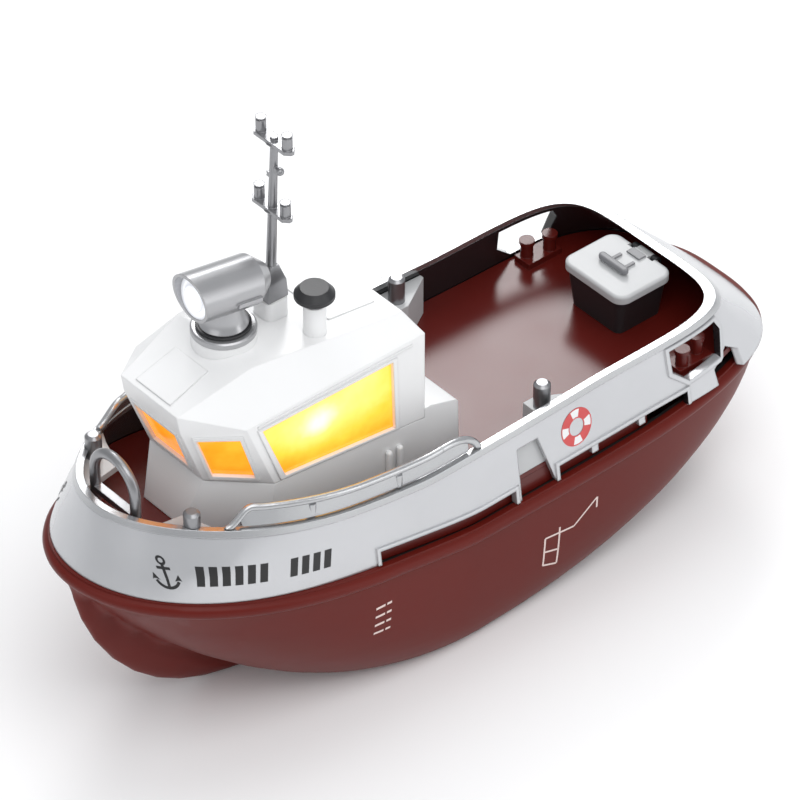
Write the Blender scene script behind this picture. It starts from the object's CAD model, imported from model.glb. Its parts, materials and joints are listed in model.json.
import json
import math

import bpy
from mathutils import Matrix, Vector
from mathutils.bvhtree import BVHTree


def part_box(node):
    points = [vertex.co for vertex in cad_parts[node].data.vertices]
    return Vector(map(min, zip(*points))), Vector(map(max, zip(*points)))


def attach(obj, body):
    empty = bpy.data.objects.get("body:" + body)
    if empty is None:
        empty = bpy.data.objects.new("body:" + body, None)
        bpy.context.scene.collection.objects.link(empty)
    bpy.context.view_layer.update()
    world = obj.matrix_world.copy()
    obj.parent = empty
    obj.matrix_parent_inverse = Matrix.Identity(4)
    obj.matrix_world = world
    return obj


MM = 0.001
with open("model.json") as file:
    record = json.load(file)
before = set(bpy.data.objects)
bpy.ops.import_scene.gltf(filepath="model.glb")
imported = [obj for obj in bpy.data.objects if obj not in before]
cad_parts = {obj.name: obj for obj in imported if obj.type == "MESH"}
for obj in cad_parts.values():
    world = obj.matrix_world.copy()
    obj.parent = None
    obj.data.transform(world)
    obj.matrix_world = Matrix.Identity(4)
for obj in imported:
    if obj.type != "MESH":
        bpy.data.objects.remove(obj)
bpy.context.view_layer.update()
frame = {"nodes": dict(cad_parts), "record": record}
nodes = frame["nodes"]


# ---------------------------------------------------------------- node helpers
def new_material(name):
    m = bpy.data.materials.new(name)
    m.use_nodes = True
    m.node_tree.nodes.clear()
    return m, m.node_tree


def math_node(tree, op, a, b=None):
    n = tree.nodes.new("ShaderNodeMath")
    n.operation = op
    for i, v in enumerate((a, b)):
        if v is None:
            continue
        if isinstance(v, (int, float)):
            n.inputs[i].default_value = v
        else:
            tree.links.new(v, n.inputs[i])
    return n.outputs[0]


def ramp(tree, fac, stops):
    n = tree.nodes.new("ShaderNodeValToRGB")
    while len(n.color_ramp.elements) < len(stops):
        n.color_ramp.elements.new(0.5)
    for e, (pos, col) in zip(n.color_ramp.elements, stops):
        e.position = pos
        e.color = (*col, 1)
    tree.links.new(fac, n.inputs["Fac"])
    return n.outputs["Color"]


def noise(tree, scale, detail=4.0, rough=0.55):
    coords = tree.nodes.new("ShaderNodeTexCoord")
    n = tree.nodes.new("ShaderNodeTexNoise")
    n.inputs["Scale"].default_value = scale
    n.inputs["Detail"].default_value = detail
    n.inputs["Roughness"].default_value = rough
    tree.links.new(coords.outputs["Object"], n.inputs["Vector"])
    return n.outputs["Fac"]


def principled(name):
    """A new material with one principled shader on its output."""
    m, t = new_material(name)
    out = t.nodes.new("ShaderNodeOutputMaterial")
    p = t.nodes.new("ShaderNodeBsdfPrincipled")
    t.links.new(p.outputs[0], out.inputs[0])
    return m, t, p


def position(tree):
    """The x, y and z of the shaded point, in metres."""
    coords = tree.nodes.new("ShaderNodeTexCoord")
    split = tree.nodes.new("ShaderNodeSeparateXYZ")
    tree.links.new(coords.outputs["Object"], split.inputs[0])
    return split.outputs


def pick(tree, factor, below, above):
    """Colour below where factor is 0, and above where it is 1; each a colour or a socket."""
    mix = tree.nodes.new("ShaderNodeMix")
    mix.data_type = "RGBA"
    tree.links.new(factor, mix.inputs["Factor"])
    for key, value in (("A", below), ("B", above)):
        if isinstance(value, tuple):
            mix.inputs[key].default_value = value
        else:
            tree.links.new(value, mix.inputs[key])
    return mix.outputs["Result"]


BROAD_SCALE = 35.0
GRAIN_SCALE = 2200.0
GRAIN_DEPTH = 0.0002


def surface(name, color, rough=0.35, metal=0.0, coat=0.0, grain=0.03, vary=0.05, edge=0.35, specular=0.5):
    """A moulded or painted surface: gently varied colour and gloss, fine grain, and softened edges."""
    m, t, p = principled(name)
    broad = noise(t, BROAD_SCALE)
    fine = noise(t, GRAIN_SCALE, 2.0)
    dark = tuple(c * (1 - vary) for c in color)
    lite = tuple(min(1.0, c * (1 + vary)) for c in color)
    t.links.new(ramp(t, broad, ((0.3, dark), (0.7, lite))), p.inputs["Base Color"])
    spread = math_node(t, "MULTIPLY_ADD", broad, 0.10)
    spread.node.inputs[2].default_value = rough - 0.05
    t.links.new(spread, p.inputs["Roughness"])
    p.inputs["Metallic"].default_value = metal
    p.inputs["Coat Weight"].default_value = coat
    p.inputs["Coat Roughness"].default_value = 0.12
    p.inputs["Specular IOR Level"].default_value = specular
    bevel = t.nodes.new("ShaderNodeBevel")
    bevel.samples = 4
    bevel.inputs["Radius"].default_value = edge * MM
    bump = t.nodes.new("ShaderNodeBump")
    bump.inputs["Strength"].default_value = grain
    bump.inputs["Distance"].default_value = GRAIN_DEPTH
    t.links.new(fine, bump.inputs["Height"])
    t.links.new(bevel.outputs[0], bump.inputs["Normal"])
    t.links.new(bump.outputs[0], p.inputs["Normal"])
    return m


def shader_of(tree):
    return next(n for n in tree.nodes if n.type == "BSDF_PRINCIPLED")


SIDE_END = 0.06              # beyond this distance fore and aft, a face also points out along y
OUTWARD = -0.016
INNER_BLACK = (0.010, 0.010, 0.011, 1)


def two_sided_bulwark(name):
    """Silver on the outer face, dark on the inner face."""
    m = surface(name, (0.56, 0.565, 0.58), rough=0.24, metal=0.72, coat=0.1, vary=0.03, edge=0.8)
    t = m.node_tree
    p = shader_of(t)
    geo = t.nodes.new("ShaderNodeNewGeometry")
    x, y, _ = position(t)
    nrm = t.nodes.new("ShaderNodeSeparateXYZ")
    t.links.new(geo.outputs["True Normal"], nrm.inputs[0])
    across = math_node(t, "MULTIPLY", x, nrm.outputs[0])
    past = math_node(t, "SUBTRACT", math_node(t, "ABSOLUTE", y), SIDE_END)
    past = math_node(t, "MAXIMUM", past, 0.0)
    past = math_node(t, "MULTIPLY", past, math_node(t, "SIGN", y))
    along = math_node(t, "MULTIPLY", past, nrm.outputs[1])
    outward = math_node(t, "ADD", across, along)
    outside = math_node(t, "GREATER_THAN", outward, OUTWARD)
    silver = p.inputs["Base Color"].links[0].from_socket
    t.links.new(pick(t, outside, INNER_BLACK, silver), p.inputs["Base Color"])
    t.links.new(math_node(t, "MULTIPLY", outside, 0.60), p.inputs["Metallic"])
    return m


PANE_FOOT, PANE_HEIGHT = 0.086, 0.026
PANE_START, PANE_RUN = 0.100, 0.075
LAMP_AHEAD, LAMP_HEIGHT = 0.0575, 0.1025
PANE_COLOURS = (
    (0.20, (0.80, 0.13, 0.005)),
    (0.40, (0.95, 0.30, 0.015)),
    (0.58, (1.0, 0.50, 0.045)),
    (0.78, (1.0, 0.66, 0.16)),
    (1.0, (1.0, 0.90, 0.60)),
)


def lit_pane(name, strength):
    """A lit amber window: pale close to the lamp inside, deep orange low down and forward."""
    m, t, p = principled(name)
    _, y, z = position(t)
    up = math_node(t, "MULTIPLY_ADD", z, 1 / PANE_HEIGHT)
    up.node.inputs[2].default_value = -PANE_FOOT / PANE_HEIGHT
    aft = math_node(t, "MULTIPLY_ADD", y, 1 / PANE_RUN)
    aft.node.inputs[2].default_value = PANE_START / PANE_RUN
    dy = math_node(t, "DIVIDE", math_node(t, "ADD", y, LAMP_AHEAD), 0.014)
    dz = math_node(t, "DIVIDE", math_node(t, "SUBTRACT", z, LAMP_HEIGHT), 0.008)
    away = math_node(t, "ADD", math_node(t, "MULTIPLY", dy, dy), math_node(t, "MULTIPLY", dz, dz))
    hot = math_node(t, "DIVIDE", 1.0, math_node(t, "ADD", away, 1.0))
    cloud = noise(t, 70.0, 3.0)
    glow = math_node(t, "ADD", math_node(t, "MULTIPLY", up, 0.22), math_node(t, "MULTIPLY", aft, 0.22))
    glow = math_node(t, "ADD", glow, math_node(t, "MULTIPLY", cloud, 0.34))
    glow = math_node(t, "ADD", glow, math_node(t, "MULTIPLY", hot, 0.50))
    color = ramp(t, glow, PANE_COLOURS)
    t.links.new(color, p.inputs["Emission Color"])
    p.inputs["Emission Strength"].default_value = strength
    t.links.new(color, p.inputs["Base Color"])
    p.inputs["Roughness"].default_value = 0.12
    return m


LENS_COLOURS = (
    (0.0, (1.0, 1.0, 1.0)),
    (0.42, (0.95, 0.96, 1.0)),
    (0.60, (0.50, 0.51, 0.54)),
    (0.74, (0.72, 0.73, 0.76)),
    (1.0, (0.40, 0.41, 0.43)),
)


def lamp_glass(name):
    """Clear lens lit from behind: bright in the middle, greyer towards its rim."""
    m, t, p = principled(name)
    x, _, z = position(t)
    low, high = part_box("searchlight_lens")
    reach = (high[0] - low[0]) / 2
    centre = (low[2] + high[2]) / 2
    dx = math_node(t, "DIVIDE", x, reach)
    dz = math_node(t, "DIVIDE", math_node(t, "SUBTRACT", z, centre), reach)
    squares = math_node(t, "ADD", math_node(t, "MULTIPLY", dx, dx), math_node(t, "MULTIPLY", dz, dz))
    away = math_node(t, "SQRT", squares)
    color = ramp(t, away, LENS_COLOURS)
    t.links.new(color, p.inputs["Emission Color"])
    t.links.new(color, p.inputs["Base Color"])
    p.inputs["Emission Strength"].default_value = 0.85
    p.inputs["Roughness"].default_value = 0.10
    return m


LID_FACE_Z = 0.07415
GRIP_GREY = (0.20, 0.20, 0.21, 1)


def lid_look(name):
    """The locker's lid: light grey, with its raised grip darker."""
    m = surface(name, (0.52, 0.525, 0.53), rough=0.40, coat=0.1, grain=0.08, vary=0.03)
    t = m.node_tree
    p = shader_of(t)
    pale = p.inputs["Base Color"].links[0].from_socket
    raised = math_node(t, "GREATER_THAN", position(t)[2], LID_FACE_Z)
    t.links.new(pick(t, raised, pale, GRIP_GREY), p.inputs["Base Color"])
    return m


PAINTS = {
    "hull_paint": dict(color=(0.118, 0.0088, 0.0050), rough=0.40, grain=0.012, specular=0.20),
    "deck_paint": dict(color=(0.100, 0.0085, 0.0060), rough=0.25, specular=0.42),
    "rail_silver": dict(color=(0.50, 0.505, 0.515), rough=0.26, metal=0.85, vary=0.04),
    "bright_metal": dict(color=(0.30, 0.30, 0.31), rough=0.30, metal=0.85),
    "grey_plastic": dict(color=(0.50, 0.505, 0.51), rough=0.42, coat=0.1, grain=0.08, vary=0.03),
    "cabin_white": dict(color=(0.83, 0.83, 0.83), rough=0.38, coat=0.15, vary=0.015, edge=0.6),
    "lamp_white": dict(color=(0.42, 0.42, 0.43), rough=0.30, metal=0.7, vary=0.04),
    "reflector": dict(color=(0.9, 0.9, 0.92), rough=0.08, metal=1.0, vary=0.01),
    "black_plastic": dict(color=(0.018, 0.018, 0.020), rough=0.38, grain=0.10, vary=0.10),
    "shaft_steel": dict(color=(0.55, 0.55, 0.56), rough=0.25, metal=1.0, grain=0.05),
    "brass": dict(color=(0.75, 0.52, 0.20), rough=0.25, metal=1.0, grain=0.05),
    "black_rubber": dict(color=(0.015, 0.015, 0.015), rough=0.75, grain=0.2),
    "battery_wrap": dict(color=(0.03, 0.20, 0.09), rough=0.3, coat=0.3),
    "circuit_green": dict(color=(0.015, 0.16, 0.06), rough=0.4, grain=0.15),
    "wire_red": dict(color=(0.5, 0.02, 0.02), rough=0.5),
    "screw_steel": dict(color=(0.5, 0.5, 0.5), rough=0.3, metal=1.0),
}
LOOKS = {name: surface(name, **values) for name, values in PAINTS.items()}
LOOKS["bulwark_silver"] = two_sided_bulwark("bulwark_silver")
LOOKS["amber_glass"] = lit_pane("amber_glass", 0.80)
LOOKS["lens_clear"] = lamp_glass("lens_clear")
LIFT_WHITE = surface("pure_white_trim", (0.85, 0.85, 0.85), rough=0.4)
MARK_BLACK = surface("mark_black", (0.012, 0.012, 0.013), rough=0.45, grain=0.02)
MARK_PALE = surface("mark_pale", (0.75, 0.60, 0.56), rough=0.5, grain=0.02)
MARK_RED = surface("mark_red", (0.62, 0.07, 0.07), rough=0.45, grain=0.02)


# ---------------------------------------------------------------- smooth shading of the moulded nodes
def smoother(degrees):
    g = bpy.data.node_groups.new("smooth_by_angle_%d" % degrees, "GeometryNodeTree")
    g.interface.new_socket("Geometry", in_out="INPUT", socket_type="NodeSocketGeometry")
    g.interface.new_socket("Geometry", in_out="OUTPUT", socket_type="NodeSocketGeometry")
    gin = g.nodes.new("NodeGroupInput")
    gout = g.nodes.new("NodeGroupOutput")
    merge = g.nodes.new("GeometryNodeMergeByDistance")
    merge.inputs["Distance"].default_value = 2e-6
    smooth = g.nodes.new("GeometryNodeSetShadeSmooth")
    smooth.domain = "FACE"
    angle = g.nodes.new("GeometryNodeInputMeshEdgeAngle")
    wide = g.nodes.new("FunctionNodeCompare")
    wide.data_type = "FLOAT"
    wide.operation = "GREATER_THAN"
    wide.inputs["B"].default_value = math.radians(degrees)
    store = g.nodes.new("GeometryNodeStoreNamedAttribute")
    store.data_type = "BOOLEAN"
    store.domain = "EDGE"
    store.inputs["Name"].default_value = "sharp_edge"
    g.links.new(gin.outputs[0], merge.inputs["Geometry"])
    g.links.new(merge.outputs[0], smooth.inputs["Geometry"])
    g.links.new(smooth.outputs[0], store.inputs["Geometry"])
    g.links.new(angle.outputs["Unsigned Angle"], wide.inputs["A"])
    g.links.new(wide.outputs[0], store.inputs["Value"])
    g.links.new(store.outputs[0], gout.inputs[0])
    return g


SMOOTH = smoother(28)

SPECIAL = {"locker_lid": lid_look("locker_lid_look")}
slot_of = {s["node"]: s["material_slot"] for s in frame["record"]["subparts"]}
for name, obj in nodes.items():
    look = SPECIAL.get(name) or LOOKS[slot_of[name]]
    obj.data.materials.clear()
    obj.data.materials.append(look)
    if obj.data.has_custom_normals:
        with bpy.context.temp_override(object=obj, active_object=obj, selected_objects=[obj]):
            bpy.ops.mesh.customdata_custom_splitnormals_clear()
    mod = obj.modifiers.new("smooth", "NODES")
    mod.node_group = SMOOTH


# ---------------------------------------------------------------- marks that follow a surface
def tree_of(name):
    mesh = nodes[name].data
    return BVHTree.FromPolygons([v.co[:] for v in mesh.vertices], [p.vertices[:] for p in mesh.polygons])


class Wrap:
    """Maps (distance along the port side, height) in mm to points on a node's outer face."""

    def __init__(self, node, y0, y1, base, side=1):
        self.tree = tree_of(node)
        self.base = base
        self.side = side
        self.table = [(0.0, y0)]
        last = None
        steps = 240
        for i in range(steps + 1):
            y = y0 + (y1 - y0) * i / steps
            hit = self.cast(y, base(y))
            if hit is None:
                continue
            if last is not None:
                self.table.append((self.table[-1][0] + (hit[0] - last).length / MM, y))
            else:
                self.table[0] = (0.0, y)
            last = hit[0]

    def cast(self, y, z):
        start = Vector((self.side * 0.12, y * MM, z * MM))
        hit, normal, _, _ = self.tree.ray_cast(start, Vector((-self.side, 0, 0)))
        if hit is None:
            return None
        if normal.x * self.side < 0:
            normal = -normal
        return hit, normal

    def at(self, s, h, lift):
        table = self.table
        y = table[-1][1]
        for (sa, ya), (sb, yb) in zip(table, table[1:]):
            if sa <= s <= sb and sb > sa:
                y = ya + (yb - ya) * (s - sa) / (sb - sa)
                break
        found = self.cast(y, self.base(y) + h)
        if found is None:
            return None
        hit, normal = found
        return hit + normal * lift * MM


def ride_piece(name, mesh, material, body):
    obj = bpy.data.objects.new(name, mesh)
    bpy.context.scene.collection.objects.link(obj)
    mesh.materials.append(material)
    for p in mesh.polygons:
        p.use_smooth = True
    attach(obj, body)
    return obj


def mark(name, wrap, quads, material, lift=0.06, cells=6):
    """Quads given by four (s, h) corners, laid on the surface as one printed mark."""
    verts, faces = [], []
    for a, b, c, d in quads:
        first = len(verts)
        ok = True
        grid = []
        for i in range(cells + 1):
            u = i / cells
            for j in range(cells + 1):
                v = j / cells
                s = (a[0] * (1 - u) + b[0] * u) * (1 - v) + (d[0] * (1 - u) + c[0] * u) * v
                h = (a[1] * (1 - u) + b[1] * u) * (1 - v) + (d[1] * (1 - u) + c[1] * u) * v
                p = wrap.at(s, h, lift)
                if p is None:
                    ok = False
                grid.append(p)
        if not ok:
            continue
        verts += grid
        n = cells + 1
        for i in range(cells):
            for j in range(cells):
                k = first + i * n + j
                faces.append((k, k + n, k + n + 1, k + 1))
    mesh = bpy.data.meshes.new(name)
    mesh.from_pydata(verts, [], faces)
    return ride_piece(name, mesh, material, "boat")


def bar(s0, s1, h0, h1, lean=0.0):
    return ((s0, h0), (s1, h0), (s1 + lean, h1), (s0 + lean, h1))


def stroke(a, b, width):
    dx, dy = b[0] - a[0], b[1] - a[1]
    size = math.hypot(dx, dy)
    nx, ny = -dy / size * width / 2, dx / size * width / 2
    return ((a[0] - nx, a[1] - ny), (b[0] - nx, b[1] - ny), (b[0] + nx, b[1] + ny), (a[0] + nx, a[1] + ny))


def arc(cx, cy, r0, r1, start, end, pieces):
    quads = []
    for i in range(pieces):
        a = math.radians(start + (end - start) * i / pieces)
        b = math.radians(start + (end - start) * (i + 1) / pieces)
        quads.append((
            (cx + r0 * math.cos(a), cy + r0 * math.sin(a)),
            (cx + r1 * math.cos(a), cy + r1 * math.sin(a)),
            (cx + r1 * math.cos(b), cy + r1 * math.sin(b)),
            (cx + r0 * math.cos(b), cy + r0 * math.sin(b)),
        ))
    return quads


SKIRT_Z, SKIRT_RISE = 50.0, 20.5
SKIRT_START_Y, SKIRT_RUN, SKIRT_POWER = -12.0, 119.0, 1.1


def skirt(y):
    """Height in mm of the bulwark's lower edge, which climbs towards the bow."""
    return SKIRT_Z + SKIRT_RISE * max(0.0, (SKIRT_START_Y - y) / SKIRT_RUN) ** SKIRT_POWER


STRIPE_PITCH = 3.95


def stripe_row(start, count):
    spots = [start + i * STRIPE_PITCH for i in range(count)]
    return [bar(s, s + 2.5, -3.0, 3.2, 1.1) for s in spots]


RING_S, RING_IN, RING_OUT = 11.4, 3.3, 6.0


def ring_bands(middle, half, pieces):
    """Four bands of a life ring, each half degrees either side of its middle."""
    quads = []
    for i in range(4):
        centre = middle + 90 * i
        quads += arc(RING_S, 0.0, RING_IN, RING_OUT, centre - half, centre + half, pieces)
    return quads


LINE = 0.7
LOAD_LINES = (
    ((8.5, -6.0), (8.5, 5.5)),
    ((14.5, -8.5), (14.5, 7.0)),
    ((8.5, -6.0), (14.5, -8.5)),
    ((8.5, -0.3), (14.5, -2.2)),
    ((8.5, 5.5), (20.5, 4.0)),
    ((20.5, 4.0), (30.0, 10.8)),
    ((30.0, 10.8), (30.0, 6.5)),
)


for side, word in ((1, "port"), (-1, "starboard")):
    bow = Wrap("bulwark", -119.0, -55.0, lambda y: skirt(y) + 8.6, side)
    anchor_s = 5.0
    anchor = [
        stroke((anchor_s, -3.6), (anchor_s, 3.0), 0.9),
        stroke((anchor_s - 2.0, 1.9), (anchor_s + 2.0, 1.9), 0.8),
    ]
    anchor += arc(anchor_s, 4.1, 0.7, 1.4, 0, 360, 12)
    anchor += arc(anchor_s, -0.2, 3.3, 4.2, 205, 335, 10)
    for fluke in (-1, 1):
        tip = (anchor_s + fluke * 3.9, -1.2)
        inner = (tip[0] - fluke * 1.7, tip[1] - 0.5)
        point = (tip[0] - fluke * 0.2, tip[1] + 1.5)
        outer = (tip[0] + fluke * 0.6, tip[1] - 0.6)
        anchor.append((tip, inner, point, outer))
    mark("anchor_mark_" + word, bow, anchor, MARK_BLACK, cells=3)
    stripes = stripe_row(13.6, 6) + stripe_row(43.4, 4)
    mark("bow_stripes_" + word, bow, stripes, MARK_BLACK, cells=4)
    ring_wrap = Wrap("bulwark", 20.0, 43.0, lambda y: 64.5, side)
    rings_red = ring_bands(45, 27, 6)
    rings_white = ring_bands(0, 18, 4)
    outline = arc(RING_S, 0.0, 5.95, 6.35, 0, 360, 30) + arc(RING_S, 0.0, 2.95, 3.35, 0, 360, 20)
    mark("life_ring_red_" + word, ring_wrap, rings_red, MARK_RED, cells=2)
    mark("life_ring_white_" + word, ring_wrap, rings_white, LIFT_WHITE, cells=2)
    mark("life_ring_outline_" + word, ring_wrap, outline, MARK_RED, lift=0.09, cells=1)
    low = Wrap("hull_shell", -60.0, -40.0, lambda y: 34.0, side)
    ticks = []
    for i in range(4):
        h = 5.5 - i * 3.6
        ticks.append(bar(8.0, 11.5, h, h + 0.9))
        ticks.append(bar(12.2, 14.0, h, h + 0.9))
    mark("draft_ticks_" + word, low, ticks, MARK_PALE, lift=0.08, cells=4)
    mid = Wrap("hull_shell", 8.0, 46.0, lambda y: 24.0, side)
    load_lines = [stroke(a, b, LINE) for a, b in LOAD_LINES]
    mark("load_mark_" + word, mid, load_lines, MARK_PALE, lift=0.08, cells=5)

# ---------------------------------------------------------------- studio
floor_mat, ft = new_material("floor")
fo = ft.nodes.new("ShaderNodeOutputMaterial")
fp = ft.nodes.new("ShaderNodeBsdfPrincipled")
fp.inputs["Base Color"].default_value = (0.97, 0.97, 0.97, 1)
fp.inputs["Roughness"].default_value = 0.9
ft.links.new(fp.outputs[0], fo.inputs[0])
mesh = bpy.data.meshes.new("studio_floor")
REACH = 6.0
FLOOR_Z = -0.0002
corners = [(x * REACH, y * REACH, FLOOR_Z) for x, y in ((-1, -1), (1, -1), (1, 1), (-1, 1))]
mesh.from_pydata(corners, [], [(0, 1, 2, 3)])
mesh.materials.append(floor_mat)
floor = bpy.data.objects.new("studio_floor", mesh)
bpy.context.scene.collection.objects.link(floor)

world = bpy.data.worlds.new("studio")
bpy.context.scene.world = world
world.use_nodes = True
bg = world.node_tree.nodes["Background"]
bg.inputs["Color"].default_value = (0.95, 0.97, 1.0, 1)
bg.inputs["Strength"].default_value = 0.55


def softbox(name, place, aim, size, power, tint=(1, 1, 1)):
    light = bpy.data.lights.new(name, "AREA")
    light.shape = "RECTANGLE"
    light.size, light.size_y = size
    light.energy = power
    light.color = tint
    obj = bpy.data.objects.new(name, light)
    bpy.context.scene.collection.objects.link(obj)
    obj.location = place
    obj.rotation_euler = (Vector(aim) - Vector(place)).to_track_quat("-Z", "Y").to_euler()
    return obj


softbox("key", (0.5, -0.15, 0.95), (0, 0, 0.05), (0.9, 0.6), 4.2)
softbox("top", (-0.3, 0.3, 1.1), (0, 0, 0.05), (1.0, 1.0), 3.6)
softbox("side_strip", (0.9, 0.5, 0.35), (0, 0.05, 0.05), (0.25, 0.9), 1.6)
softbox("deck_sheen", (-0.95, 0.80, 1.0), (0, 0.05, 0.06), (0.42, 0.42), 5.0)
softbox("bow_fill", (0.15, -0.9, 0.45), (0, -0.05, 0.08), (0.7, 0.4), 1.0)

camera = bpy.data.cameras.new("camera")
camera.sensor_width = 36.0
camera.lens = 247.5
cam = bpy.data.objects.new("camera", camera)
bpy.context.scene.collection.objects.link(cam)
target = Vector((-3.14, -0.60, 63.65)) * MM
back = Vector((0.5867, -0.5029, 0.6347)).normalized()
cam.location = target + back * 1.7
cam.rotation_euler = (-back).to_track_quat("-Z", "Y").to_euler()
bpy.context.scene.camera = cam
bpy.context.scene.view_settings.view_transform = "Standard"
